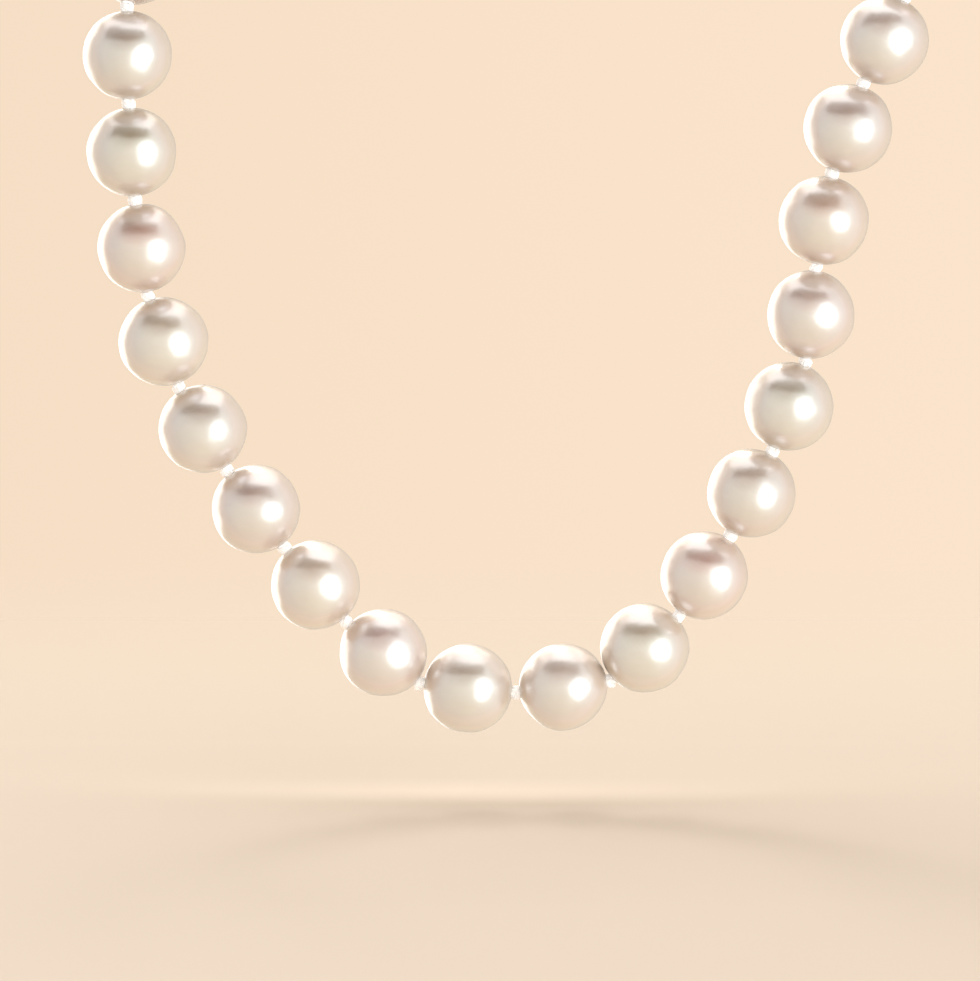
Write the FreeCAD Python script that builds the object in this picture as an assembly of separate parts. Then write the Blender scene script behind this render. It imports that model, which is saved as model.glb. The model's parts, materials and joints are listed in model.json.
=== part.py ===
import FreeCAD, Part
import math
import os

Vector = FreeCAD.Vector

# A knotted strand of 44 round pearls with a lobster-claw clasp, in millimetres.
# +Z is up, +X runs to the wearer's left hand, and the front of the strand faces -Y.
# The origin is the middle of the clasp, at the nape of the neck.

# Pearls and silk
pearl_diameter = 9.0
pearl_mismatch = 0.05          # how far a radius strays from the nominal one
pearls_per_side = 22
left_pitch = 9.82              # knot to knot
right_pitch = 9.68             # its knots are drawn up a little tighter
hole_diameter = 0.90
silk_diameter = 0.70
knot_diameter = 1.50
knot_clearance = 0.06          # round each knot, so that the strand bends freely

# Clasp: every length is in the clasp's own frame, x along the strand
gimp_diameter = 1.00
loop_silk_diameter = 0.50
loop_stand_off = 0.15          # knot to where the loop's two legs part
gimp_trim = 0.30               # bare silk between the knot and the gimp
jump_wire_diameter = 0.80
jump_ring_radius = 1.70        # to the middle of the wire
eye_wire_diameter = 0.90
eye_ring_radius = 2.10
ring_gap = 0.05                # left between a silk loop and its ring
tail_hole_radius = 0.85
tail_outer_radius = 1.45
tail_thickness = 1.20
tail_edge_radius = 0.30
body_thickness = 2.30
claw_edge_radius = 0.40
hook_outer_radius = 3.30
hook_inner_radius = 2.10
hook_z = -1.15                 # the hook's middle, below the strand's axis
slot_width = 1.36
slot_radius = 1.20
lever_thickness = 1.20
lever_reach = 5.40             # from the rivet to the tip
lever_gap = 0.08
hub_radius = 1.05
arm_end_radius = 0.65
tab_radius = 0.70
spring_pocket_radius = 0.92
spring_pocket_width = 0.72

# Places in the clasp, from the middle of the hook
base_x = -5.20
base_z = 0.20
base_radius = 2.10
throat_x = -2.40
throat_radius = 1.20
pivot_x = -4.70
pivot_z = -0.60
gate_start_x = -3.30
gate_top_z = -0.50
arm_end_x = -2.70
arm_end_z = -1.80
tab_x = -2.60
tab_z = -2.85

# Spacing along the clasp
tail_offset = 1.95             # jump ring to tail eyelet
hook_offset = 8.25             # tail eyelet to hook
eye_offset = 0.75              # hook to the near wire of the eye ring
rivet_diameter = 0.90
rivet_head_diameter = 1.50
rivet_head_height = 0.25
lever_hole_diameter = 1.00
spring_wire_diameter = 0.20
spring_coil_radius = 0.68
spring_turns = 1.5
spring_body_leg_end = 1.14     # from the rivet's axis
spring_lever_leg_end = 0.82

# The line of the silk, as (x, y, z) from the lowest knot, seen from the front:
# up the hanging front, back over the collar bones and round to the nape.
left_route = [
    (0.0, 0.0, 0.0),
    (-9.6, 0.0, 0.8),
    (-17.2, 0.0, 7.2),
    (-23.5, 0.0, 14.8),
    (-29.4, 0.0, 22.8),
    (-34.2, 0.0, 31.2),
    (-37.3, 0.0, 40.5),
    (-38.6, 0.0, 50.2),
    (-39.2, 0.0, 60.0),
    (-39.4, 0.5, 69.7),
    (-37.6, 3.5, 79.0),
    (-38.6, 10.8, 86.6),
    (-41.8, 22.0, 94.0),
    (-46.2, 38.0, 101.0),
    (-47.0, 55.5, 106.0),
    (-42.2, 72.5, 110.0),
    (-31.0, 85.2, 113.0),
    (-15.5, 93.7, 115.0),
    (1.5, 96.3, 115.5),
]
right_route = [
    (0.0, 0.0, 0.0),
    (9.6, 0.0, 1.2),
    (16.5, 0.0, 7.8),
    (21.7, 0.0, 15.9),
    (25.9, 0.0, 24.4),
    (29.3, 0.0, 33.5),
    (30.4, 0.0, 43.1),
    (31.9, 0.0, 52.6),
    (35.0, 0.0, 61.8),
    (39.2, 0.5, 70.6),
    (43.2, 3.5, 79.3),
    (45.6, 10.8, 86.8),
    (47.8, 22.0, 94.0),
    (48.6, 38.0, 101.0),
    (47.8, 55.5, 106.0),
    (43.0, 72.5, 110.0),
    (33.0, 85.2, 113.0),
    (18.5, 93.7, 115.0),
    (1.5, 96.3, 115.5),
]

knot_radius = knot_diameter / 2
seat_radius = knot_radius + knot_clearance


def knots_along(route, pitch):
    """Knots stepped along the route at one pitch, each straight-line pitch holding one pearl."""
    curve = Part.BSplineCurve()
    curve.interpolate([Vector(*point) for point in route])
    parameter = curve.FirstParameter
    knots = [curve.value(parameter)]
    for _ in range(pearls_per_side):
        low = parameter
        high = curve.LastParameter
        step = (high - low) / 200
        while (curve.value(low + step) - knots[-1]).Length < pitch:
            low += step
        high = low + step
        for _ in range(40):
            middle = (low + high) / 2
            if (curve.value(middle) - knots[-1]).Length < pitch:
                low = middle
            else:
                high = middle
        parameter = (low + high) / 2
        knots.append(curve.value(parameter))
    return knots


def rod(start, end, diameter):
    return Part.makeCylinder(diameter / 2, (end - start).Length, start, end - start)


def pearl_radius(number):
    return pearl_diameter / 2 + pearl_mismatch * math.sin(2.4 * number)


def turned(edges, lower_knot, upper_knot):
    """A profile of radius against height, spun about the line through both knots."""
    spun = Part.Face(Part.Wire(edges)).revolve(Vector(0, 0, 0), Vector(0, 0, 1), 360)
    rotation = FreeCAD.Rotation(Vector(0, 0, 1), upper_knot - lower_knot)
    spun.Placement = FreeCAD.Placement((lower_knot + upper_knot) / 2, rotation)
    return spun


def pearl(lower_knot, upper_knot, radius):
    """A drilled pearl, with a small dish at each end of the hole where its knot beds in."""
    knot_z = (upper_knot - lower_knot).Length / 2
    hole = hole_diameter / 2
    rim_z = (knot_z ** 2 + radius ** 2 - seat_radius ** 2) / (2 * knot_z)
    rim_r = math.sqrt(radius ** 2 - rim_z ** 2)
    mouth_z = knot_z - math.sqrt(seat_radius ** 2 - hole ** 2)
    middle_lean = (math.asin(hole / seat_radius) + math.acos((knot_z - rim_z) / seat_radius)) / 2
    dish_r = seat_radius * math.sin(middle_lean)
    dish_z = knot_z - seat_radius * math.cos(middle_lean)
    edges = [
        Part.LineSegment(Vector(hole, 0, -mouth_z), Vector(hole, 0, mouth_z)).toShape(),
        Part.Arc(Vector(hole, 0, mouth_z), Vector(dish_r, 0, dish_z),
                 Vector(rim_r, 0, rim_z)).toShape(),
        Part.Arc(Vector(rim_r, 0, rim_z), Vector(radius, 0, 0), Vector(rim_r, 0, -rim_z)).toShape(),
        Part.Arc(Vector(rim_r, 0, -rim_z), Vector(dish_r, 0, -dish_z),
                 Vector(hole, 0, -mouth_z)).toShape(),
    ]
    return turned(edges, lower_knot, upper_knot)


def silk_link(lower_knot, upper_knot):
    """The knot above a pearl and the silk that fills its hole, short of the knot below."""
    knot_z = (upper_knot - lower_knot).Length / 2
    silk = silk_diameter / 2
    silk_end_z = seat_radius + knot_clearance - knot_z
    neck_z = knot_z - math.sqrt(knot_radius ** 2 - silk ** 2)
    edges = [
        Part.LineSegment(Vector(0, 0, silk_end_z), Vector(silk, 0, silk_end_z)).toShape(),
        Part.LineSegment(Vector(silk, 0, silk_end_z), Vector(silk, 0, neck_z)).toShape(),
        Part.Arc(Vector(silk, 0, neck_z), Vector(knot_radius, 0, knot_z),
                 Vector(0, 0, knot_z + knot_radius)).toShape(),
        Part.LineSegment(Vector(0, 0, knot_z + knot_radius), Vector(0, 0, silk_end_z)).toShape(),
    ]
    return turned(edges, lower_knot, upper_knot)


def extruded(face, thickness):
    """A face in the X-Z plane, made solid with its middle on that plane."""
    solid = face.extrude(Vector(0, thickness, 0))
    solid.translate(Vector(0, -thickness / 2, 0))
    return solid


def disc(x, z, radius):
    circle = Part.Circle(Vector(x, 0, z), Vector(0, -1, 0), radius)
    return Part.Face(Part.Wire(circle.toShape()))


def belt(x1, z1, radius1, x2, z2, radius2):
    """The outline that a belt round two discs would take, larger disc second."""
    span = math.hypot(x2 - x1, z2 - z1)
    heading = math.atan2(z2 - z1, x2 - x1)
    lean = math.acos((radius1 - radius2) / span)

    def rim(x, z, radius, angle):
        return Vector(x + radius * math.cos(angle), 0, z + radius * math.sin(angle))

    upper1 = rim(x1, z1, radius1, heading + lean)
    upper2 = rim(x2, z2, radius2, heading + lean)
    lower1 = rim(x1, z1, radius1, heading - lean)
    lower2 = rim(x2, z2, radius2, heading - lean)
    back = rim(x1, z1, radius1, heading + math.pi)
    front = rim(x2, z2, radius2, heading)
    edges = [
        Part.Arc(lower1, back, upper1).toShape(),
        Part.LineSegment(upper1, upper2).toShape(),
        Part.Arc(upper2, front, lower2).toShape(),
        Part.LineSegment(lower2, lower1).toShape(),
    ]
    return Part.Face(Part.Wire(edges))


def ring_at(x, radius, wire_diameter):
    """A round wire ring lying level, with its middle on the strand's axis."""
    return Part.makeTorus(radius, wire_diameter / 2, Vector(x, 0, 0), Vector(0, 0, 1))


def loop_path(knot_x, wire_x, radius, trim):
    """A silk loop round a ring's wire in the X-Z plane, its ends trimmed back from the knot."""
    side = math.copysign(1, wire_x - knot_x)
    start_x = knot_x + side * (knot_radius + loop_stand_off)
    start_z = gimp_diameter / 2 + ring_gap
    reach = math.hypot(wire_x - start_x, start_z)
    lean = math.acos(radius / reach) - math.atan2(start_z, abs(wire_x - start_x))
    touch_x = wire_x - side * radius * math.cos(lean)
    touch_z = radius * math.sin(lean)
    upper = Vector(touch_x, 0, touch_z)
    start = Vector(start_x, 0, start_z)
    start += (upper - start).normalize() * trim
    front = Vector(wire_x + side * radius, 0, 0)
    lower = Vector(touch_x, 0, -touch_z)
    end = Vector(start.x, 0, -start.z)
    edges = [
        Part.LineSegment(start, upper).toShape(),
        Part.Arc(upper, front, lower).toShape(),
        Part.LineSegment(lower, end).toShape(),
    ]
    return Part.Wire(edges)


def tube_along(path, diameter):
    first = path.Edges[0]
    start = first.Vertexes[0].Point
    along = first.tangentAt(first.FirstParameter)
    section = Part.Wire(Part.Circle(start, along, diameter / 2).toShape())
    return path.makePipeShell([section], True, True)


def silk_loop(knot_x, wire_x, radius):
    """The silk inside the gimp, drawn together where both ends enter the knot."""
    path = loop_path(knot_x, wire_x, radius, 0)
    loop = tube_along(path, loop_silk_diameter)
    inner_end = Vector(knot_x, 0, 0)
    for vertex in (path.OrderedVertexes[0], path.OrderedVertexes[-1]):
        loop = loop.fuse(Part.makeSphere(loop_silk_diameter / 2, vertex.Point))
        loop = loop.fuse(rod(vertex.Point, inner_end, loop_silk_diameter))
    return loop.cut(Part.makeSphere(seat_radius, inner_end))


def gimp(knot_x, wire_x, radius):
    """The sleeve of coiled wire that guards the silk loop against its ring."""
    path = loop_path(knot_x, wire_x, radius, gimp_trim)
    bore = tube_along(path, loop_silk_diameter + 2 * ring_gap)
    return tube_along(path, gimp_diameter).cut(bore)


def gate_zone(hook_x, hook_z, pivot, clearance):
    """Where the lever closes the claw: a slab below the throat that ends in an arc about the rivet."""
    left = hook_x + gate_start_x - clearance
    top = hook_z + gate_top_z
    slab = Part.makeBox(8, body_thickness, 5, Vector(left, -body_thickness / 2, top - 5))
    return slab.common(extruded(disc(pivot.x, pivot.z, lever_reach + clearance), body_thickness))


def claw_ring(hook_x, hook_z):
    """The whole egg-shaped outline of the claw with its eye cut out and its edges rounded."""
    outline = belt(hook_x + base_x, hook_z + base_z, base_radius, hook_x, hook_z, hook_outer_radius)
    eye = belt(hook_x + throat_x, hook_z, throat_radius, hook_x, hook_z, hook_inner_radius)
    claw = extruded(outline, body_thickness).cut(extruded(eye, body_thickness))
    face_y = body_thickness / 2
    rims = [edge for edge in claw.Edges if abs(abs(edge.CenterOfMass.y) - face_y) < 0.01]
    return claw.makeFillet(claw_edge_radius, rims)


def clasp_body(claw, tail_x, hook_x, hook_z, pivot):
    """The claw without its gate: tail eyelet, base slotted for the lever, and hook."""
    half_slot = slot_width / 2
    body = claw.cut(gate_zone(hook_x, hook_z, pivot, lever_gap))
    eyelet = extruded(disc(tail_x, 0, tail_outer_radius), tail_thickness)
    rims = [edge for edge in eyelet.Edges if abs(edge.CenterOfMass.y) > 0.1]
    body = body.fuse(eyelet.makeFillet(tail_edge_radius, rims))
    body = body.cut(extruded(disc(tail_x, 0, tail_hole_radius), body_thickness))
    well = extruded(disc(pivot.x, pivot.z, slot_radius), slot_width)
    mouth = Part.makeBox(4.0, slot_width, 5.0, Vector(pivot.x, -half_slot, pivot.z + slot_radius - 5.0))
    exit_below = Part.makeBox(
        2 * slot_radius, slot_width, 3.0, Vector(pivot.x - slot_radius, -half_slot, pivot.z - 3.0))
    rivet_hole = extruded(disc(pivot.x, pivot.z, rivet_diameter / 2), body_thickness)
    return body.cut([well, mouth, exit_below, rivet_hole])


def clasp_lever(claw, hook_x, hook_z, pivot):
    """The gate of the claw on an arm that reaches back into the slot to the rivet."""
    gate = claw.common(gate_zone(hook_x, hook_z, pivot, 0.0).translated(Vector(lever_gap, 0, 0)))
    gate = gate.common(extruded(disc(pivot.x, pivot.z, lever_reach), body_thickness))
    arm = extruded(
        belt(hook_x + arm_end_x, hook_z + arm_end_z, arm_end_radius, pivot.x, pivot.z, hub_radius),
        lever_thickness)
    tab = extruded(disc(hook_x + tab_x, hook_z + tab_z, tab_radius), lever_thickness)
    lever = gate.fuse([arm, tab])
    pocket = extruded(disc(pivot.x, pivot.z, spring_pocket_radius), spring_pocket_width)
    back = Part.makeBox(
        2.0, spring_pocket_width, 3.0,
        Vector(pivot.x - 2.0, -spring_pocket_width / 2, pivot.z - 1.5))
    bore = extruded(disc(pivot.x, pivot.z, lever_hole_diameter / 2), lever_thickness)
    return lever.cut([pocket, back, bore])


def clasp_rivet(pivot):
    """A pin through both cheeks, with a low head on each face."""
    half = body_thickness / 2
    start = Vector(pivot.x, -half, pivot.z)
    pin = Part.makeCylinder(rivet_diameter / 2, body_thickness, start, Vector(0, 1, 0))
    heads = []
    for side in (-1, 1):
        foot = Vector(pivot.x, side * half, pivot.z)
        head = Part.makeCylinder(rivet_head_diameter / 2, rivet_head_height, foot, Vector(0, side, 0))
        rims = [edge for edge in head.Edges if abs(edge.CenterOfMass.y - side * half) > 0.2
                and edge.Length > 3]
        heads.append(head.makeFillet(rivet_head_height * 0.6, rims))
    return pin.fuse(heads)


def clasp_spring(pivot):
    """A torsion spring round the rivet: one leg lies in the base, the other in the lever."""
    coil_pitch = spring_wire_diameter + 0.02
    height = coil_pitch * spring_turns
    helix = Part.makeHelix(coil_pitch, height, spring_coil_radius)
    inner = spring_coil_radius - spring_wire_diameter / 4
    section = Part.Circle(
        Vector(spring_coil_radius, 0, 0), Vector(0, 1, 0), spring_wire_diameter / 2).toShape()
    coil = Part.Wire(helix).makePipeShell([Part.Wire(section)], True, True)
    lever_leg = rod(Vector(inner, 0, 0), Vector(spring_lever_leg_end, 0, 0), spring_wire_diameter)
    body_leg = rod(
        Vector(-inner, 0, height), Vector(-spring_body_leg_end, 0, height), spring_wire_diameter)
    spring = coil.fuse([lever_leg, body_leg])
    spring.translate(Vector(0, 0, -height / 2))
    spring.rotate(Vector(0, 0, 0), Vector(1, 0, 0), 90)
    spring.translate(pivot)
    return spring


def clasp_parts(gap):
    """Every piece between the last knots, which lie half the gap either side of the origin."""
    loop_length = (gap - clasp_reach()) / 2
    jump_loop_radius = (jump_wire_diameter + gimp_diameter) / 2 + ring_gap
    eye_loop_radius = (eye_wire_diameter + gimp_diameter) / 2 + ring_gap
    left_knot_x = -gap / 2
    right_knot_x = gap / 2
    left_wire_x = left_knot_x + loop_length
    right_wire_x = right_knot_x - loop_length
    jump_x = left_wire_x + jump_ring_radius
    tail_x = jump_x + tail_offset
    hook_x = tail_x + hook_offset
    eye_x = right_wire_x - eye_ring_radius
    pivot = Vector(hook_x + pivot_x, 0, hook_z + pivot_z)
    claw = claw_ring(hook_x, hook_z)
    return pivot, {
        "silk_loop_left": silk_loop(left_knot_x, left_wire_x, jump_loop_radius),
        "gimp_left": gimp(left_knot_x, left_wire_x, jump_loop_radius),
        "jump_ring": ring_at(jump_x, jump_ring_radius, jump_wire_diameter),
        "clasp_body": clasp_body(claw, tail_x, hook_x, hook_z, pivot),
        "clasp_lever": clasp_lever(claw, hook_x, hook_z, pivot),
        "clasp_rivet": clasp_rivet(pivot),
        "clasp_spring": clasp_spring(pivot),
        "eye_ring": ring_at(eye_x, eye_ring_radius, eye_wire_diameter),
        "gimp_right": gimp(right_knot_x, right_wire_x, eye_loop_radius),
        "silk_loop_right": silk_loop(right_knot_x, right_wire_x, eye_loop_radius),
    }


def clasp_reach():
    """From the jump ring's far wire to the eye ring's far wire."""
    return jump_ring_radius + tail_offset + hook_offset + eye_offset + 2 * eye_ring_radius


def frame_of(left_end, right_end):
    """The clasp's place: x from the left end to the right end, z as near upright as that allows."""
    x_axis = (right_end - left_end).normalize()
    y_axis = Vector(0, 0, 1).cross(x_axis).normalize()
    z_axis = x_axis.cross(y_axis)
    rotation = FreeCAD.Rotation(x_axis, y_axis, z_axis, "XYZ")
    return FreeCAD.Placement(Vector(0, 0, 0), rotation)


def save(name, shape):
    if not shape.isValid():
        raise SystemExit(name + " is not a valid shape")
    shape.exportStep(os.path.join("parts", name + ".step"))


def main():
    os.makedirs("parts", exist_ok=True)
    strands = {
        "left": knots_along(left_route, left_pitch),
        "right": knots_along(right_route, right_pitch),
    }
    clasp_middle = (strands["left"][-1] + strands["right"][-1]) / 2
    for side in strands:
        strands[side] = [knot - clasp_middle for knot in strands[side]]

    for side, knots in strands.items():
        for number in range(1, pearls_per_side + 1):
            lower = knots[number - 1]
            upper = knots[number]
            ball = pearl(lower, upper, pearl_radius(number if side == "left" else -number))
            link = Part.makeCompound([ball, silk_link(lower, upper)])
            save("pearl_%s_%02d" % (side, number), link)
    bottom = strands["left"][0]
    save("bottom_knot", Part.makeSphere(knot_radius, bottom))

    gap = (strands["right"][-1] - strands["left"][-1]).Length
    clasp_place = frame_of(strands["left"][-1], strands["right"][-1])
    pivot, pieces = clasp_parts(gap)
    for name, shape in pieces.items():
        shape.Placement = clasp_place.multiply(shape.Placement)
        save(name, shape)

    print("gap between the end knots %.2f" % gap)
    print("clasp direction", clasp_place.multVec(Vector(1, 0, 0)))
    print("rivet at", clasp_place.multVec(pivot), "axis", clasp_place.multVec(Vector(0, -1, 0)))
    for number in range(pearls_per_side + 1):
        left = strands["left"][number]
        right = strands["right"][number]
        print("knot %2d left (%.3f, %.3f, %.3f) right (%.3f, %.3f, %.3f)"
              % (number, left.x, left.y, left.z, right.x, right.y, right.z))


main()
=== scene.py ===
import json
import math
import bmesh
import bpy
from mathutils import Matrix, Vector


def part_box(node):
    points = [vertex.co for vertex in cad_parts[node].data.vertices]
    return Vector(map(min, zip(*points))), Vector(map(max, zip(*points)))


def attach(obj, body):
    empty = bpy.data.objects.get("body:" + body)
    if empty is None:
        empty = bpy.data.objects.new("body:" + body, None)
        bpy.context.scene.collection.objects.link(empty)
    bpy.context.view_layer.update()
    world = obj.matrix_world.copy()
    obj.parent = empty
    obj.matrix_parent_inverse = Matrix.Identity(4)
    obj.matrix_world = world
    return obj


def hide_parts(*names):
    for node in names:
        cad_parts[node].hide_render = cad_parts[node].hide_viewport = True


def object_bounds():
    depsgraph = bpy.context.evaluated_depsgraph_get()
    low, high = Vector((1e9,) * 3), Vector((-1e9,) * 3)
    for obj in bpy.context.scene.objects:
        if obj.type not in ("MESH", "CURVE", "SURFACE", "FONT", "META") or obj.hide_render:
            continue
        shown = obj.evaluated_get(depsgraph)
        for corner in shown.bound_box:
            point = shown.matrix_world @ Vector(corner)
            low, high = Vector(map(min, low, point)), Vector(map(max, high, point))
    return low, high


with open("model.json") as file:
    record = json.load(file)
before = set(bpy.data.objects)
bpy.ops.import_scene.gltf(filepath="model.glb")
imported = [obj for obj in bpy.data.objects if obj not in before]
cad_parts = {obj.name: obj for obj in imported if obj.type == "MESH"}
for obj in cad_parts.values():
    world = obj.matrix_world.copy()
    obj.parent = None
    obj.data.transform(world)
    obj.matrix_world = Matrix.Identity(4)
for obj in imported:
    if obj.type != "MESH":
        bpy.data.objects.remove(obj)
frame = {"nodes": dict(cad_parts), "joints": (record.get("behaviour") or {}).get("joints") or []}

cadLow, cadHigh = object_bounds()
scene = bpy.context.scene

strand = {
    "sides": ("left", "right"),
    "pearlsPerSide": 22,
    "goldenTurn": 2.39996,      # turns each pearl and its knot away from the last one
    "beltHalf": 0.001,          # how near a pearl's middle its width is measured
}


def letGo():
    if bpy.context.object and bpy.context.object.mode != "OBJECT":
        bpy.ops.object.mode_set(mode="OBJECT")
    bpy.ops.object.select_all(action="DESELECT")


def takeUp(piece):
    letGo()
    piece.select_set(True)
    bpy.context.view_layer.objects.active = piece


def editMesh(piece):
    takeUp(piece)
    bpy.ops.object.mode_set(mode="EDIT")
    bpy.ops.mesh.select_mode(type="VERT")
    bpy.ops.mesh.select_all(action="DESELECT")


def pickVerts(piece, wanted):
    work = bmesh.from_edit_mesh(piece.data)
    for vert in work.verts:
        vert.select = wanted(vert.co)
    work.select_flush(True)
    work.select_flush(False)
    bmesh.update_edit_mesh(piece.data)


def closeEdit():
    bpy.ops.mesh.select_all(action="SELECT")
    bpy.ops.mesh.remove_doubles(threshold=1e-7)
    bpy.ops.mesh.normals_make_consistent(inside=False)
    bpy.ops.object.mode_set(mode="OBJECT")


def bakePlace(piece, matrix=None):
    if matrix is None:
        matrix = piece.matrix_world.copy()
    piece.data.transform(matrix)
    piece.matrix_world = Matrix.Identity(4)


def joinPieces(pieces, name):
    letGo()
    for piece in pieces:
        piece.select_set(True)
    bpy.context.view_layer.objects.active = pieces[0]
    bpy.ops.object.join()
    joined = bpy.context.object
    joined.name = name
    return joined


def smooth(piece):
    takeUp(piece)
    bpy.ops.object.shade_smooth()


def copyOf(master, name):
    twin = bpy.data.objects.new(name, master.data.copy())
    scene.collection.objects.link(twin)
    return twin


jointPlace = {joint["name"]: Vector(joint["pos_m"]) for joint in frame["joints"]}
lowKnot = sum(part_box("bottom_knot"), Vector()) / 2


def knotPlace(side, number):
    if number == 0:
        return lowKnot
    return jointPlace["knot_%s_%02d" % (side, number)]


def linkFrame(side, number):
    # middle of the pearl, with z along its drill hole towards the next knot
    lower, upper = knotPlace(side, number - 1), knotPlace(side, number)
    turn = (upper - lower).to_track_quat("Z", "Y").to_matrix().to_4x4()
    spin = Matrix.Rotation(strand["goldenTurn"] * number, 4, "Z")
    return Matrix.Translation((lower + upper) / 2) @ turn @ spin


def halfPitch(side):
    return (knotPlace(side, 5) - knotPlace(side, 4)).length / 2


def pearlRadius(side, number):
    # read off the pearl itself, round its middle
    lower, upper = knotPlace(side, number - 1), knotPlace(side, number)
    middle, along = (lower + upper) / 2, (upper - lower).normalized()
    widest = 0
    for vert in frame["nodes"]["pearl_%s_%02d" % (side, number)].data.vertices:
        arm = vert.co - middle
        if abs(arm.dot(along)) < strand["beltHalf"]:
            widest = max(widest, arm.length)
    return widest


def newNode(tree, kind, **values):
    made = tree.nodes.new(kind)
    for key, value in values.items():
        if hasattr(made, key):
            setattr(made, key, value)
        else:
            made.inputs[key].default_value = value
    return made


def wire(tree, start, end):
    tree.links.new(start, end)


def mixColor(tree, factor, first, second):
    made = tree.nodes.new("ShaderNodeMix")
    made.data_type = "RGBA"
    ends = ((made.inputs[0], factor), (made.inputs[6], first), (made.inputs[7], second))
    for socket, value in ends:
        if isinstance(value, bpy.types.NodeSocket):
            wire(tree, value, socket)
        else:
            socket.default_value = value
    return made.outputs[2]


def mapValue(tree, source, fromLow, fromHigh, toLow, toHigh):
    made = tree.nodes.new("ShaderNodeMapRange")
    wire(tree, source, made.inputs[0])
    for socket, value in zip(made.inputs[1:5], (fromLow, fromHigh, toLow, toHigh)):
        socket.default_value = value
    return made.outputs[0]


def mathOf(tree, operation, first, second):
    made = tree.nodes.new("ShaderNodeMath")
    made.operation = operation
    for socket, value in ((made.inputs[0], first), (made.inputs[1], second)):
        if isinstance(value, bpy.types.NodeSocket):
            wire(tree, value, socket)
        else:
            socket.default_value = value
    return made.outputs[0]


def noiseOf(tree, vector, scale, detail=3.0):
    made = newNode(tree, "ShaderNodeTexNoise", Scale=scale, Detail=detail)
    wire(tree, vector, made.inputs["Vector"])
    return made.outputs["Fac"]


def newGroup(name, inputs, outputs):
    group = bpy.data.node_groups.new(name, "ShaderNodeTree")
    for label, kind, value in inputs:
        socket = group.interface.new_socket(label, in_out="INPUT", socket_type=kind)
        if value is not None:
            socket.default_value = value
    for label, kind in outputs:
        group.interface.new_socket(label, in_out="OUTPUT", socket_type=kind)
    return group, group.nodes.new("NodeGroupInput"), group.nodes.new("NodeGroupOutput")


def placeGroup(tree, group, **values):
    made = tree.nodes.new("ShaderNodeGroup")
    made.node_tree = group
    for key, value in values.items():
        made.inputs[key].default_value = value
    return made


def mottleGroup():
    # cloudy change of colour with a finer speckle in it
    group, inward, outward = newGroup(
        "mottle",
        [("Place", "NodeSocketVector", None), ("Cloud", "NodeSocketFloat", 200.0),
         ("Speckle", "NodeSocketFloat", 1500.0), ("First", "NodeSocketColor", (1, 1, 1, 1)),
         ("Second", "NodeSocketColor", (1, 1, 1, 1)), ("Depth", "NodeSocketFloat", 0.5)],
        [("Color", "NodeSocketColor"), ("Mask", "NodeSocketFloat")])
    cloud = newNode(group, "ShaderNodeTexNoise", Detail=2.0)
    speckle = newNode(group, "ShaderNodeTexNoise", Detail=4.0)
    for made, scale in ((cloud, "Cloud"), (speckle, "Speckle")):
        wire(group, inward.outputs["Place"], made.inputs["Vector"])
        wire(group, inward.outputs[scale], made.inputs["Scale"])
    broad = mapValue(group, cloud.outputs["Fac"], 0.34, 0.66, 0.0, 1.0)
    fine = mapValue(group, speckle.outputs["Fac"], 0.3, 0.7, -0.12, 0.12)
    mask = mathOf(group, "ADD", broad, fine)
    share = mathOf(group, "MULTIPLY", mask, inward.outputs["Depth"])
    color = mixColor(group, share, inward.outputs["First"], inward.outputs["Second"])
    wire(group, color, outward.inputs["Color"])
    wire(group, mask, outward.inputs["Mask"])
    return group


def wearGroup():
    # hairline polishing scratches and finger smears, for metal
    group, inward, outward = newGroup(
        "handlingWear",
        [("Place", "NodeSocketVector", None), ("Scratches", "NodeSocketFloat", 900.0),
         ("Polished", "NodeSocketFloat", 0.12), ("Worn", "NodeSocketFloat", 0.3)],
        [("Roughness", "NodeSocketFloat"), ("Height", "NodeSocketFloat"), ("Mask", "NodeSocketFloat")])
    lines = []
    for angle, squeeze in ((0.5, 14.0), (-0.9, 18.0)):
        stretch = newNode(group, "ShaderNodeMapping")
        stretch.inputs["Rotation"].default_value = (angle, angle * 0.7, angle * 1.6)
        stretch.inputs["Scale"].default_value = (1.0, squeeze, 1.0)
        wire(group, inward.outputs["Place"], stretch.inputs["Vector"])
        hair = newNode(group, "ShaderNodeTexNoise", Detail=2.0, Roughness=0.6)
        wire(group, stretch.outputs["Vector"], hair.inputs["Vector"])
        wire(group, inward.outputs["Scratches"], hair.inputs["Scale"])
        lines.append(mapValue(group, hair.outputs["Fac"], 0.62, 0.7, 0.0, 1.0))
    scratched = mathOf(group, "MAXIMUM", lines[0], lines[1])
    smear = mapValue(group, noiseOf(group, inward.outputs["Place"], 420.0), 0.4, 0.65, 0.0, 1.0)
    worn = mathOf(group, "MULTIPLY", smear, 0.45)
    mask = mathOf(group, "MAXIMUM", worn, scratched)
    spread = newNode(group, "ShaderNodeMapRange")
    wire(group, mask, spread.inputs[0])
    wire(group, inward.outputs["Polished"], spread.inputs[3])
    wire(group, inward.outputs["Worn"], spread.inputs[4])
    wire(group, spread.outputs[0], outward.inputs["Roughness"])
    wire(group, mathOf(group, "MULTIPLY", scratched, -1.0), outward.inputs["Height"])
    wire(group, mask, outward.inputs["Mask"])
    return group


def startMaterial(name):
    made = bpy.data.materials.new(name)
    made.use_nodes = True
    made.node_tree.nodes.clear()
    tree = made.node_tree
    shader = tree.nodes.new("ShaderNodeBsdfPrincipled")
    ending = tree.nodes.new("ShaderNodeOutputMaterial")
    wire(tree, shader.outputs[0], ending.inputs["Surface"])
    place = tree.nodes.new("ShaderNodeTexCoord").outputs["Object"]
    return made, tree, shader, place


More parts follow.
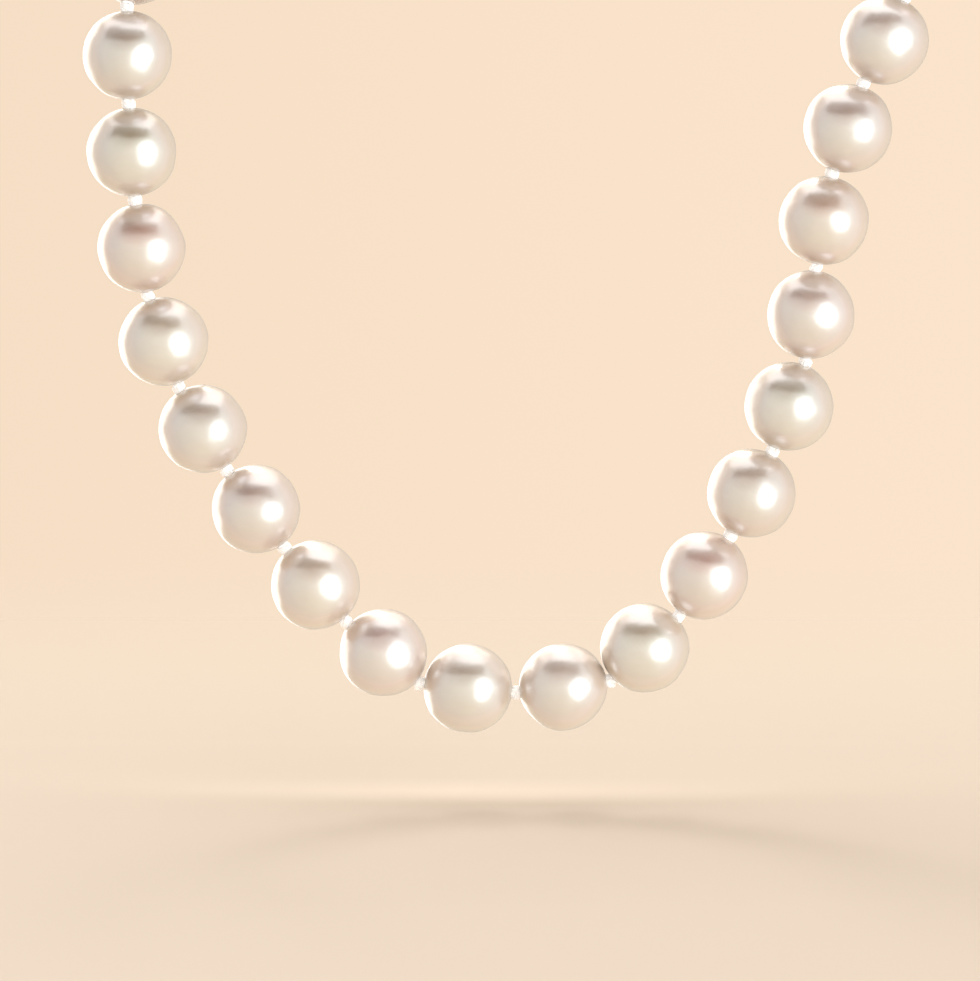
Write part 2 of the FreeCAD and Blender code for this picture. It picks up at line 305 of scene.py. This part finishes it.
def addBump(tree, shader, height, strength, distance):
    bump = newNode(tree, "ShaderNodeBump", Strength=strength, Distance=distance)
    wire(tree, height, bump.inputs["Height"])
    wire(tree, bump.outputs["Normal"], shader.inputs["Normal"])


nacreLook = {
    "cream": (0.61, 0.485, 0.385, 1),
    "bodyIOR": 2.4,
    "roughness": (0.46, 0.54),
    "coatRoughness": 0.27,
    "coatIOR": 3.0,
    "filmThickness": 520.0,
    "filmIOR": 1.08,
    "growthRings": 34.0,
    "pitScale": 260.0,
    "skinScale": 2600.0,
    "heights": (0.5, 0.35, 0.10),       # growth rings, pits and skin
    "bumpStrength": 0.15,
    "bumpDistance": 0.00002,
}


def nacreMaterial(mottle):
    made, tree, shader, place = startMaterial("nacre")
    # base colour: each pearl's overtone tint together with its painted reflection bar, mottled with cream
    overtoneAndPaintedBar = newNode(tree, "ShaderNodeAttribute", attribute_name="overtoneAndPaintedBar")
    body = placeGroup(tree, mottle, Cloud=170.0, Speckle=900.0, Depth=0.3,
                      Second=nacreLook["cream"])
    wire(tree, place, body.inputs["Place"])
    wire(tree, overtoneAndPaintedBar.outputs["Color"], body.inputs["First"])
    wire(tree, body.outputs["Color"], shader.inputs["Base Color"])

    # faint growth rings round the drill axis
    around = newNode(tree, "ShaderNodeSeparateXYZ")
    wire(tree, tree.nodes.new("ShaderNodeUVMap").outputs["UV"], around.inputs[0])
    wobble = mathOf(tree, "MULTIPLY", noiseOf(tree, place, 300.0), 0.05)
    ringPlace = newNode(tree, "ShaderNodeCombineXYZ")
    wire(tree, mathOf(tree, "ADD", around.outputs["Y"], wobble), ringPlace.inputs["Z"])
    rings = noiseOf(tree, ringPlace.outputs[0], nacreLook["growthRings"], detail=1.0)

    # a few shallow pits
    cells = newNode(tree, "ShaderNodeTexVoronoi", Scale=nacreLook["pitScale"])
    wire(tree, place, cells.inputs["Vector"])
    pits = mapValue(tree, cells.outputs["Distance"], 0.0, 0.14, -1.0, 0.0)
    skin = noiseOf(tree, place, nacreLook["skinScale"], detail=2.0)
    ringHeight, pitHeight, skinHeight = nacreLook["heights"]
    height = mathOf(tree, "MULTIPLY", rings, ringHeight)
    height = mathOf(tree, "ADD", height, mathOf(tree, "MULTIPLY", pits, pitHeight))
    height = mathOf(tree, "ADD", height, mathOf(tree, "MULTIPLY", skin, skinHeight))
    addBump(tree, shader, height, nacreLook["bumpStrength"], nacreLook["bumpDistance"])

    low, high = nacreLook["roughness"]
    wire(tree, mapValue(tree, body.outputs["Mask"], 0.0, 1.0, low, high), shader.inputs["Roughness"])
    shader.inputs["IOR"].default_value = nacreLook["bodyIOR"]
    shader.inputs["Coat Weight"].default_value = 1.0
    shader.inputs["Coat Roughness"].default_value = nacreLook["coatRoughness"]
    shader.inputs["Coat IOR"].default_value = nacreLook["coatIOR"]
    shader.inputs["Thin Film Thickness"].default_value = nacreLook["filmThickness"]
    shader.inputs["Thin Film IOR"].default_value = nacreLook["filmIOR"]
    return made


silkLook = {
    "white": (0.99, 0.98, 0.96, 1),
    "shade": (0.95, 0.93, 0.90, 1),
    "fibre": 9000.0,
    "roughness": (0.48, 0.68),
    "paintedGlow": 0.25,               # painted glow: emission standing in for light that the loose fibres pass on
    "sheen": 0.2,
    "sheenRoughness": 0.35,
}


def silkMaterial(mottle):
    made, tree, shader, place = startMaterial("silkThread")
    body = placeGroup(tree, mottle, Cloud=1200.0, Speckle=silkLook["fibre"], Depth=0.6,
                      First=silkLook["white"], Second=silkLook["shade"])
    wire(tree, place, body.inputs["Place"])
    wire(tree, body.outputs["Color"], shader.inputs["Base Color"])
    low, high = silkLook["roughness"]
    wire(tree, mapValue(tree, body.outputs["Mask"], 0.0, 1.0, low, high), shader.inputs["Roughness"])
    addBump(tree, shader, noiseOf(tree, place, silkLook["fibre"]), 0.3, 0.00001)
    # painted glow: the silk emits a little of its own colour so the knots stay bright where they sit in
    # shade
    wire(tree, body.outputs["Color"], shader.inputs["Emission Color"])
    shader.inputs["Emission Strength"].default_value = silkLook["paintedGlow"]
    shader.inputs["Sheen Weight"].default_value = silkLook["sheen"]
    shader.inputs["Sheen Roughness"].default_value = silkLook["sheenRoughness"]
    return made


metalLook = {
    "polishedGold": {"bright": (0.88, 0.63, 0.28, 1), "dull": (0.78, 0.53, 0.22, 1),
                     "scratches": 900.0, "polished": 0.12, "worn": 0.30},
    "giltWire": {"bright": (0.86, 0.66, 0.34, 1), "dull": (0.72, 0.53, 0.25, 1),
                 "scratches": 2500.0, "polished": 0.18, "worn": 0.36},
    "springSteel": {"bright": (0.62, 0.62, 0.63, 1), "dull": (0.45, 0.45, 0.47, 1),
                    "scratches": 1800.0, "polished": 0.20, "worn": 0.38},
}


def metalMaterial(name, wear):
    look = metalLook[name]
    made, tree, shader, place = startMaterial(name)
    used = placeGroup(tree, wear, Scratches=look["scratches"], Polished=look["polished"], Worn=look["worn"])
    wire(tree, place, used.inputs["Place"])
    color = mixColor(tree, used.outputs["Mask"], look["bright"], look["dull"])
    wire(tree, color, shader.inputs["Base Color"])
    wire(tree, used.outputs["Roughness"], shader.inputs["Roughness"])
    addBump(tree, shader, used.outputs["Height"], 0.3, 0.00001)
    shader.inputs["Metallic"].default_value = 1.0
    return made


mottle = mottleGroup()
handlingWear = wearGroup()
nacre = nacreMaterial(mottle)
silk = silkMaterial(mottle)
gold = metalMaterial("polishedGold", handlingWear)
giltWire = metalMaterial("giltWire", handlingWear)
springSteel = metalMaterial("springSteel", handlingWear)
print("materials ready")


pearlShape = {
    "radius": 0.0045,
    "segments": 72,
    "rings": 36,
    "seatRadius": 0.00081,      # the dish that a knot beds in
    "holeRadius": 0.00045,
    "dishRings": 3,
    "lumpSize": 0.0042,
    "lumpHeight": 0.0003,
    "paintedReflectionBar": (0.62, 0.3, 0.40),   # painted reflection bar in the base colour: half width, half height and how far above the middle
    # how much darker and deeper the tint gets inside the painted reflection bar
    "paintedBarDarken": Vector((0.6, 0.45, 0.37)),
    "faintOvertone": 0.2,       # the real overtone's share away from the painted bar
}
# the tint of each pearl's overtone, counted up each side from the lowest pearl
overtones = {
    "left": [(0.62, 0.53, 0.44), (0.68, 0.45, 0.44), (0.72, 0.54, 0.40), (0.64, 0.44, 0.40),
             (0.63, 0.52, 0.44), (0.72, 0.60, 0.45), (0.76, 0.43, 0.33), (0.56, 0.49, 0.32)],
    "right": [(0.67, 0.52, 0.47), (0.64, 0.56, 0.41), (0.76, 0.42, 0.36), (0.60, 0.43, 0.34),
              (0.58, 0.53, 0.42), (0.74, 0.48, 0.44), (0.76, 0.49, 0.35), (0.64, 0.47, 0.43)],
}


def dishProfile(halfLength):
    # radius and height of each ring from the sphere down to the mouth of the hole
    size = pearlShape
    seat, ball, hole = size["seatRadius"], size["radius"], size["holeRadius"]
    rimHeight = (halfLength ** 2 + ball ** 2 - seat ** 2) / (2 * halfLength)
    rimRadius = math.sqrt(ball ** 2 - rimHeight ** 2)
    leanOut = math.acos((halfLength - rimHeight) / seat)
    leanIn = math.asin(hole / seat)
    rings = []
    for step in range(size["dishRings"] + 1):
        lean = leanOut + (leanIn - leanOut) * step / size["dishRings"]
        rings.append((seat * math.sin(lean), halfLength - seat * math.cos(lean)))
    return rimRadius, rings


def pearlMaster(side):
    size = pearlShape
    half = halfPitch(side)
    rimRadius, rings = dishProfile(half)
    letGo()
    bpy.ops.mesh.primitive_uv_sphere_add(segments=size["segments"], ring_count=size["rings"],
                                         radius=size["radius"])
    piece = bpy.context.object
    piece.name = "pearlMaster_" + side
    editMesh(piece)
    pickVerts(piece, lambda co: math.hypot(co.x, co.y) < rimRadius * 1.08)
    bpy.ops.mesh.delete(type="VERT")
    edgeRadius = min(math.hypot(v.co.x, v.co.y) for v in bmesh.from_edit_mesh(piece.data).verts)
    edgeHeight = math.sqrt(size["radius"] ** 2 - edgeRadius ** 2)
    for end in (1, -1):
        radius, height = edgeRadius, edgeHeight
        for nextRadius, nextHeight in rings:
            pickVerts(piece, lambda co: abs(math.hypot(co.x, co.y) - radius) < 1e-7
                      and abs(co.z - end * height) < 1e-7)
            bpy.ops.mesh.extrude_edges_move()
            share = nextRadius / radius
            bpy.ops.transform.resize(value=(share, share, 1), center_override=(0, 0, end * height))
            bpy.ops.transform.translate(value=(0, 0, end * (nextHeight - height)))
            radius, height = nextRadius, nextHeight
    pickVerts(piece, lambda co: math.hypot(co.x, co.y) < size["holeRadius"] + 1e-7)
    bpy.ops.mesh.bridge_edge_loops()
    closeEdit()
    smooth(piece)
    return piece


def addOvertoneAndPaintedBar(piece, side, number, middle):
    # the overtone is faint all over; the soft darker bar above the middle of the front is a painted
    # reflection of the dark card, not a colour the pearl has
    tint = Vector(overtones[side][(number - 1) % len(overtones[side])])
    cream = Vector(nacreLook["cream"][:3])
    wide, tall, height = pearlShape["paintedReflectionBar"]
    faint = pearlShape["faintOvertone"]
    colors = []
    for vert in piece.data.vertices:
        facing = (vert.co - middle).normalized()
        reach = math.hypot(facing.x / wide, (facing.z - height) / tall)
        # painted reflection: on the front, the tint deepens into a dark bar
        share = max(0.0, 1.0 - reach ** 2) if facing.y < 0 else 0.0
        paintedBarTint = tint * Vector((1, 1, 1)).lerp(pearlShape["paintedBarDarken"], share)
        colors += [*cream.lerp(paintedBarTint, faint + (1 - faint) * share), 1.0]
    layer = piece.data.attributes.new("overtoneAndPaintedBar", "FLOAT_COLOR", "POINT")
    layer.data.foreach_set("color", colors)


def shapePearl(piece, cloud, place, grow):
    # no two pearls match and none is quite round, but the dishes at the ends stay true
    size = pearlShape
    toPearl = place.inverted()
    skin = piece.vertex_groups.new(name="skin")
    for vert in piece.data.vertices:
        spot = toPearl @ vert.co
        out = (math.hypot(spot.x, spot.y) - size["seatRadius"] * 1.1) / size["radius"] / 0.45
        share = min(1.0, max(0.0, out))
        skin.add([vert.index], share, "REPLACE")
        vert.co = place @ (spot * (1 + (grow - 1) * share))
    takeUp(piece)
    push = piece.modifiers.new("growth", "DISPLACE")
    push.texture = cloud
    push.texture_coords = "LOCAL"
    push.strength = size["lumpHeight"]
    push.mid_level = 0.5
    push.vertex_group = "skin"
    bpy.ops.object.modifier_apply(modifier="growth")
    piece.vertex_groups.clear()


def placePearls():
    cloud = bpy.data.textures.new("growthCloud", "CLOUDS")
    cloud.noise_scale = pearlShape["lumpSize"]
    for side in strand["sides"]:
        master = pearlMaster(side)
        master.data.materials.append(nacre)
        for number in range(1, strand["pearlsPerSide"] + 1):
            name = "pearl_%s_%02d" % (side, number)
            piece = copyOf(master, "nacre_" + name)
            grow = pearlRadius(side, number) / pearlShape["radius"]
            place = linkFrame(side, number)
            bakePlace(piece, place)
            shapePearl(piece, cloud, place, grow)
            addOvertoneAndPaintedBar(piece, side, number, place.translation)
            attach(piece, name)
            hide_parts(name)
        bpy.data.objects.remove(master)
    print("pearls strung")


placePearls()


silkShape = {
    "knotRadius": 0.00075,
    "plyRadius": 0.00017,
    "twistPitch": 0.0022,
    "twistSteps": 8,            # for each turn
    "plySides": 8,
    "wrapTilts": (0.42, -0.42),
    "wrapShift": 0.00012,
}


def wrap(radius, tilt, shift, turn):
    letGo()
    bpy.ops.mesh.primitive_torus_add(
        major_radius=radius, minor_radius=silkShape["plyRadius"], major_segments=22, minor_segments=8,
        location=(0, 0, shift), rotation=(tilt, 0, turn))
    piece = bpy.context.object
    bakePlace(piece)
    return piece


def knotMaster():
    size = silkShape
    wide = size["knotRadius"] - size["plyRadius"]
    wraps = []
    for tilt in size["wrapTilts"]:
        for shift in (-size["wrapShift"], size["wrapShift"]):
            wraps.append(wrap(wide * 0.95, tilt, shift, tilt * 3))
    wraps.append(wrap(wide, math.pi / 2, 0, 0.5))    # the strand that crosses over the rest
    knot = joinPieces(wraps, "knotMaster")
    smooth(knot)
    return knot


def plyTwist(start, end, phase):
    # one ply of the doubled thread: a small ring, extruded and turned step by step
    size = silkShape
    letGo()
    offset = Vector((math.cos(phase), math.sin(phase), 0)) * size["plyRadius"] * 0.95
    bpy.ops.mesh.primitive_circle_add(vertices=size["plySides"], radius=size["plyRadius"], fill_type="NGON",
                                      location=offset + Vector((0, 0, start)))
    piece = bpy.context.object
    bakePlace(piece)
    editMesh(piece)
    bpy.ops.mesh.select_all(action="SELECT")
    steps = round((end - start) / size["twistPitch"] * size["twistSteps"])
    rise = (end - start) / steps
    turn = 2 * math.pi / size["twistSteps"]
    for step in range(steps):
        height = start + rise * (step + 1)
        bpy.ops.mesh.extrude_region_move(TRANSFORM_OT_translate={"value": (0, 0, rise)})
        bpy.ops.transform.rotate(value=turn, orient_axis="Z", center_override=(0, 0, height))
    closeEdit()
    return piece


def threadMaster(side):
    half = halfPitch(side)
    clear = pearlShape["seatRadius"] + 0.00006
    plies = [plyTwist(clear - half, half, phase) for phase in (0.0, math.pi)]
    thread = joinPieces(plies, "threadMaster_" + side)
    smooth(thread)
    return thread


def placeSilk():
    knot = knotMaster()
    knot.data.materials.append(silk)
    for side in strand["sides"]:
        thread = threadMaster(side)
        thread.data.materials.append(silk)
        for number in range(1, strand["pearlsPerSide"] + 1):
            place = linkFrame(side, number)
            top = copyOf(knot, "knotTop")
            bakePlace(top, place @ Matrix.Translation((0, 0, halfPitch(side))))
            run = copyOf(thread, "threadRun")
            bakePlace(run, place)
            piece = joinPieces([run, top], "silk_%s_%02d" % (side, number))
            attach(piece, "pearl_%s_%02d" % (side, number))
        bpy.data.objects.remove(thread)
    low = copyOf(knot, "silk_bottom_knot")
    sideways = (knotPlace("left", 1) - knotPlace("right", 1)).to_track_quat("Z", "Y").to_matrix().to_4x4()
    bakePlace(low, Matrix.Translation(lowKnot) @ sideways)
    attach(low, "pearl_left_01")
    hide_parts("bottom_knot")
    bpy.data.objects.remove(knot)
    print("knots tied")


placeSilk()


loopShape = {
    "standOff": 0.00015,        # from the knot to where the loop's two legs part
    "ringGap": 0.00005,
    "gimpRadius": 0.0005,
    "gimpTrim": 0.0003,         # bare silk beside the knot
    "gimpWire": 0.000062,
    "gimpPitch": 0.000135,
    "plyPitch": 0.0016,
    "plyRadius": 0.000122,
    "perTurn": 10,              # points in each turn of a winding
    "legSteps": 8,
    "bendSteps": 40,
}
lastPearl = strand["pearlsPerSide"]
clasp = {
    "along": (knotPlace("right", lastPearl) - knotPlace("left", lastPearl)).normalized(),
}
clasp["across"] = Vector((0, 0, 1)).cross(clasp["along"]).normalized()
clasp["up"] = clasp["along"].cross(clasp["across"])


def loopLine(side, ring, trim):
    # the loop seen from the side: out from the knot, round the ring's wire and back
    size = loopShape
    low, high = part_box(ring)
    wireRadius = (high.z - low.z) / 2
    knot = knotPlace(side, lastPearl)
    nearWire = (low.x + wireRadius) if side == "left" else (high.x - wireRadius)
    wireAt = abs(nearWire - knot.x)
    radius = wireRadius + size["gimpRadius"] + size["ringGap"]
    startAlong = silkShape["knotRadius"] + size["standOff"]
    startUp = size["gimpRadius"] + size["ringGap"]
    reach = math.hypot(wireAt - startAlong, startUp)
    lean = math.acos(radius / reach) - math.atan2(startUp, wireAt - startAlong)
    touch = Vector((wireAt - radius * math.cos(lean), radius * math.sin(lean)))
    start = Vector((startAlong, startUp))
    start += (touch - start).normalized() * trim
    legSteps, bendSteps = size["legSteps"], size["bendSteps"]
    upper = [start + (touch - start) * step / legSteps for step in range(legSteps)]
    sweep = math.pi - lean
    bend = []
    for step in range(bendSteps + 1):
        angle = sweep - 2 * sweep * step / bendSteps
        bend.append(Vector((wireAt + radius * math.cos(angle), radius * math.sin(angle))))
    lower = [Vector((point.x, -point.y)) for point in reversed(upper)]
    return upper + bend + lower


def woundAlong(line, side, windRadius, pitch, phase):
    # points of a winding round a flat line
    heading = 1 if side == "left" else -1
    knot = knotPlace(side, lastPearl)
    points, travelled, passed = [], 0.0, 0.0
    stepLength = pitch / loopShape["perTurn"]
    for start, end in zip(line, line[1:]):
        run = (end - start).length
        ahead = (end - start) / run
        aside = Vector((-ahead.y, ahead.x))
        while travelled <= passed + run:
            spot = start + ahead * (travelled - passed)
            angle = 2 * math.pi * travelled / pitch + phase
            flat = spot + aside * windRadius * math.cos(angle)
            points.append(knot + clasp["along"] * heading * flat.x + clasp["up"] * flat.y
                          + clasp["across"] * windRadius * math.sin(angle))
            travelled += stepLength
        passed += run
    return points


def wirePiece(name, points, radius, material):
    letGo()
    curve = bpy.data.curves.new(name, "CURVE")
    curve.dimensions = "3D"
    curve.bevel_depth = radius
    curve.bevel_resolution = 1
    curve.use_fill_caps = True
    line = curve.splines.new("POLY")
    line.points.add(len(points) - 1)
    for spot, point in zip(line.points, points):
        spot.co = (*point, 1)
    piece = bpy.data.objects.new(name, curve)
    scene.collection.objects.link(piece)
    takeUp(piece)
    bpy.ops.object.convert(target="MESH")
    piece.data.materials.append(material)
    smooth(piece)
    return piece


def placeLoops():
    size = loopShape
    for side, ring in (("left", "jump_ring"), ("right", "eye_ring")):
        sleeve = loopLine(side, ring, size["gimpTrim"])
        coil = woundAlong(sleeve, side, size["gimpRadius"] - size["gimpWire"], size["gimpPitch"], 0)
        piece = wirePiece("coiled_gimp_" + side, coil, size["gimpWire"], giltWire)
        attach(piece, "clasp")
        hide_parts("gimp_" + side)

        bare = [Vector((0, 0))] + loopLine(side, ring, 0) + [Vector((0, 0))]
        plies = []
        for phase in (0, math.pi):
            turns = woundAlong(bare, side, size["plyRadius"], size["plyPitch"], phase)
            plies.append(wirePiece("ply", turns, size["plyRadius"], silk))
        piece = joinPieces(plies, "twisted_loop_" + side)
        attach(piece, "clasp")
        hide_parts("silk_loop_" + side)


def dressClasp():
    metals = {name: gold for name in ("clasp_body", "clasp_lever", "clasp_rivet", "jump_ring", "eye_ring")}
    metals["clasp_spring"] = springSteel
    for name, metal in metals.items():
        frame["nodes"][name].data.materials.clear()
        frame["nodes"][name].data.materials.append(metal)


placeLoops()
dressClasp()
print("clasp fitted")


cameraShape = {
    "distance": 1.2,
    "sensor": 36.0,
    "frameWidth": 0.09967,      # what the view takes in at the front of the strand
    "aimRight": -0.00264,
    "aimUp": 0.0207,
    "lookDown": 6.5,            # degrees
}
view = bpy.data.cameras.new("viewCamera")
view.sensor_width = cameraShape["sensor"]
view.lens = cameraShape["sensor"] * cameraShape["distance"] / cameraShape["frameWidth"]
view.clip_start = 0.01
viewCamera = bpy.data.objects.new("viewCamera", view)
scene.collection.objects.link(viewCamera)
lookDown = math.radians(cameraShape["lookDown"])
aimPoint = lowKnot + Vector((cameraShape["aimRight"], 0, cameraShape["aimUp"]))
standBack = Vector((0, -math.cos(lookDown), math.sin(lookDown))) * cameraShape["distance"]
viewCamera.location = aimPoint + standBack
viewCamera.rotation_euler = (math.pi / 2 - lookDown, 0, 0)
scene.camera = viewCamera


stageShape = {
    "floorDrop": 0.0114,
    "floorRadius": 0.9,
    "floorColor": (0.72, 0.607, 0.492, 1),
    "fadeBehind": (0.0, 0.16),      # where the floor melts into the backdrop, from the object's middle
    "fadeAround": (0.12, 0.6),
    "floorRoughness": 0.85,
    "floorSpecular": 0.2,
    "paperShade": (0.70, 0.585, 0.47, 1),
    # painted light: a soft brighter streak on the floor behind the strand, a painted pool of light
    "paintedStreakColor": (0.79, 0.668, 0.54, 1),
    "paintedStreakShift": (-0.006, 0.010),     # from the lowest knot
    "paintedStreakHalf": (0.034, 0.009),
    # painted light: the wall grows a little brighter from left to right
    "wallLeft": (0.915, 0.732, 0.558, 1),
    "wallRight": (0.965, 0.776, 0.600, 1),
    "roomFront": (1.08, 1.08, 1.06, 1),
    "roomBehind": (0.84, 0.73, 0.62, 1),
    "roomBelow": (1.06, 0.93, 0.75, 1),
    "fill": 0.46,
    "fillColor": (1.0, 0.92, 0.84, 1),
}


def floorMaterial():
    made, tree, shader, place = startMaterial("peachPaper")
    paper = placeGroup(tree, mottle, Cloud=9.0, Speckle=1200.0, Depth=0.25,
                       First=stageShape["floorColor"], Second=stageShape["paperShade"])
    wire(tree, place, paper.inputs["Place"])
    shader.inputs["Roughness"].default_value = stageShape["floorRoughness"]
    shader.inputs["Specular IOR Level"].default_value = stageShape["floorSpecular"]
    depth = tree.nodes.new("ShaderNodeSeparateXYZ")
    wire(tree, place, depth.inputs[0])
    home = lowKnot - (cadLow + cadHigh) / 2
    # painted pool of light: a soft brighter streak mixed into the floor colour
    humps = []
    for axis, start, shift, half in zip("XY", home, stageShape["paintedStreakShift"], stageShape["paintedStreakHalf"]):
        middle = start + shift
        rise = mapValue(tree, depth.outputs[axis], middle - half, middle, 0.0, 1.0)
        fall = mapValue(tree, depth.outputs[axis], middle, middle + half, 1.0, 0.0)
        humps.append(mathOf(tree, "MULTIPLY", rise, fall))
    paintedStreak = mathOf(tree, "MULTIPLY", *humps)
    lit = mixColor(tree, paintedStreak, paper.outputs["Color"], stageShape["paintedStreakColor"])
    wire(tree, lit, shader.inputs["Base Color"])
    behind = mapValue(tree, depth.outputs["Y"], *stageShape["fadeBehind"], 1.0, 0.0)
    reach = newNode(tree, "ShaderNodeVectorMath", operation="LENGTH")
    wire(tree, place, reach.inputs[0])
    around = mapValue(tree, reach.outputs["Value"], *stageShape["fadeAround"], 1.0, 0.0)
    wire(tree, mathOf(tree, "MULTIPLY", behind, around), shader.inputs["Alpha"])
    return made


def makeFloor():
    letGo()
    middle = (cadLow + cadHigh) / 2
    bpy.ops.mesh.primitive_circle_add(vertices=96, radius=stageShape["floorRadius"], fill_type="NGON",
                                      location=(middle.x, middle.y, lowKnot.z - stageShape["floorDrop"]))
    floor = bpy.context.object
    floor.name = "floor"
    floor.data.materials.append(floorMaterial())
    floor.visible_glossy = False
    floor.visible_shadow = False


lightShape = {
    "aimUp": 0.035,             # above the lowest knot
    "ceiling": 1.6,             # height of the softbox over the aim; it and the flag scale with it
    "topMiddle": (-0.03, 0.59, 1.0),
    "topSize": (1.5, 1.7),
    "topRadiance": 1.3,
    "lampColor": (1.0, 0.985, 0.965),
    "keyColor": (0.87, 0.95, 1.04),
    # name: shape, azimuth, elevation and distance from the aim, size, radiance
    "lamps": {
        "backLight": ("RECTANGLE", -172, 46, 2.0, 0.5, 9.5),
        "keySoftbox": ("ELLIPSE", 42, 0, 1.8, 1.75, 2.9),
        "leftStrip": ("RECTANGLE", -146, 3, 1.8, 2.0, 2.2),
    },
    "flagMiddle": (0.12, 0.6, 0.98),
    "flagRadii": (0.85, 1.62),
    "flagAngles": (-56, 36),
    "flagColor": (0.05, 0.03, 0.02, 1),
}


def addLamp(name, shape, place, aim, width, height, radiance, color):
    lamp = bpy.data.lights.new(name, "AREA")
    lamp.shape = shape
    lamp.size, lamp.size_y = width, height
    lamp.energy = radiance * math.pi * width * height
    lamp.color = color
    holder = bpy.data.objects.new(name, lamp)
    scene.collection.objects.link(holder)
    holder.location = place
    holder.rotation_euler = (aim - Vector(place)).to_track_quat("-Z", "Y").to_euler()
    holder.visible_camera = False


def aroundAim(aim, azimuth, elevation, distance):
    # azimuth 0 stands at the camera, and grows towards the right
    turn, rise = math.radians(azimuth), math.radians(elevation)
    away = Vector((math.sin(turn) * math.cos(rise), -math.cos(turn) * math.cos(rise), math.sin(rise)))
    return aim + away * distance


def addFlag(name, middle, inner, outer, startAngle, endAngle):
    # a dark curved card that only shows as the dusky bar in each pearl
    letGo()
    width = outer - inner
    first = Vector((math.sin(startAngle), -math.cos(startAngle), 0))
    side = first.cross(Vector((0, 0, 1)))
    start = middle + first * (inner + width / 2)
    bpy.ops.mesh.primitive_plane_add(size=width, location=start + side * width / 2,
                                     rotation=(0, 0, startAngle))
    card = bpy.context.object
    card.name = name
    bakePlace(card)
    editMesh(card)
    pickVerts(card, lambda co: (co - start).dot(side) > width / 2)
    bpy.ops.mesh.delete(type="VERT")
    bpy.ops.mesh.select_all(action="SELECT")
    bpy.ops.mesh.spin(steps=24, angle=startAngle - endAngle, center=middle, axis=(0, 0, 1))
    bpy.ops.object.mode_set(mode="OBJECT")
    black, _, shader, _ = startMaterial("blackCard")
    shader.inputs["Base Color"].default_value = lightShape["flagColor"]
    shader.inputs["Roughness"].default_value = 1.0
    shader.inputs["Specular IOR Level"].default_value = 0.0
    card.data.materials.append(black)
    card.visible_camera = False
    card.visible_diffuse = False
    card.visible_shadow = False


def lightStage():
    size = lightShape
    aim = lowKnot + Vector((0, 0, size["aimUp"]))
    ceiling = size["ceiling"]
    topMiddle = Vector(size["topMiddle"]) * ceiling
    topWidth, topHeight = size["topSize"]
    addLamp("topSoftbox", "RECTANGLE", aim + topMiddle, aim + topMiddle * Vector((1, 1, 0)),
            topWidth * ceiling, topHeight * ceiling, size["topRadiance"], size["lampColor"])
    for name, (shape, azimuth, elevation, distance, wide, radiance) in size["lamps"].items():
        color = size["keyColor"] if name == "keySoftbox" else size["lampColor"]
        addLamp(name, shape, aroundAim(aim, azimuth, elevation, distance), aim, wide, wide, radiance, color)
    inner, outer = size["flagRadii"]
    startAngle, endAngle = size["flagAngles"]
    addFlag("darkFlag", aim + Vector(size["flagMiddle"]) * ceiling, inner * ceiling, outer * ceiling,
            math.radians(startAngle), math.radians(endAngle))


def worldLight():
    made = bpy.data.worlds.new("studio")
    scene.world = made
    made.use_nodes = True
    tree = made.node_tree
    tree.nodes.clear()
    fill = newNode(tree, "ShaderNodeBackground", Color=stageShape["fillColor"], Strength=stageShape["fill"])
    facing = tree.nodes.new("ShaderNodeSeparateXYZ")
    wire(tree, tree.nodes.new("ShaderNodeTexCoord").outputs["Generated"], facing.inputs[0])
    frontward = mapValue(tree, facing.outputs["Y"], -0.1, 0.8, 1.0, 0.0)
    upward = mapValue(tree, facing.outputs["Z"], -0.9, 0.1, 0.0, 1.0)
    level = mixColor(tree, frontward, stageShape["roomBehind"], stageShape["roomFront"])
    room = newNode(tree, "ShaderNodeBackground", Strength=1.0)
    wire(tree, mixColor(tree, upward, stageShape["roomBelow"], level), room.inputs[0])
    # painted light: the wall seen by the camera is painted a little brighter towards the right
    rightward = mapValue(tree, facing.outputs["X"], -0.045, 0.045, 0.0, 1.0)
    wall = newNode(tree, "ShaderNodeBackground", Strength=1.0)
    wire(tree, mixColor(tree, rightward, stageShape["wallLeft"], stageShape["wallRight"]), wall.inputs[0])
    rays = tree.nodes.new("ShaderNodeLightPath")
    mirrored = tree.nodes.new("ShaderNodeMixShader")
    wire(tree, rays.outputs["Is Glossy Ray"], mirrored.inputs[0])
    wire(tree, fill.outputs[0], mirrored.inputs[1])
    wire(tree, room.outputs[0], mirrored.inputs[2])
    seen = mathOf(tree, "MAXIMUM", rays.outputs["Is Camera Ray"], rays.outputs["Is Transmission Ray"])
    choose = tree.nodes.new("ShaderNodeMixShader")
    wire(tree, seen, choose.inputs[0])
    wire(tree, mirrored.outputs[0], choose.inputs[1])
    wire(tree, wall.outputs[0], choose.inputs[2])
    ending = tree.nodes.new("ShaderNodeOutputWorld")
    wire(tree, choose.outputs[0], ending.inputs["Surface"])


makeFloor()
lightStage()
worldLight()
scene.view_settings.view_transform = "Standard"
print("stage lit")
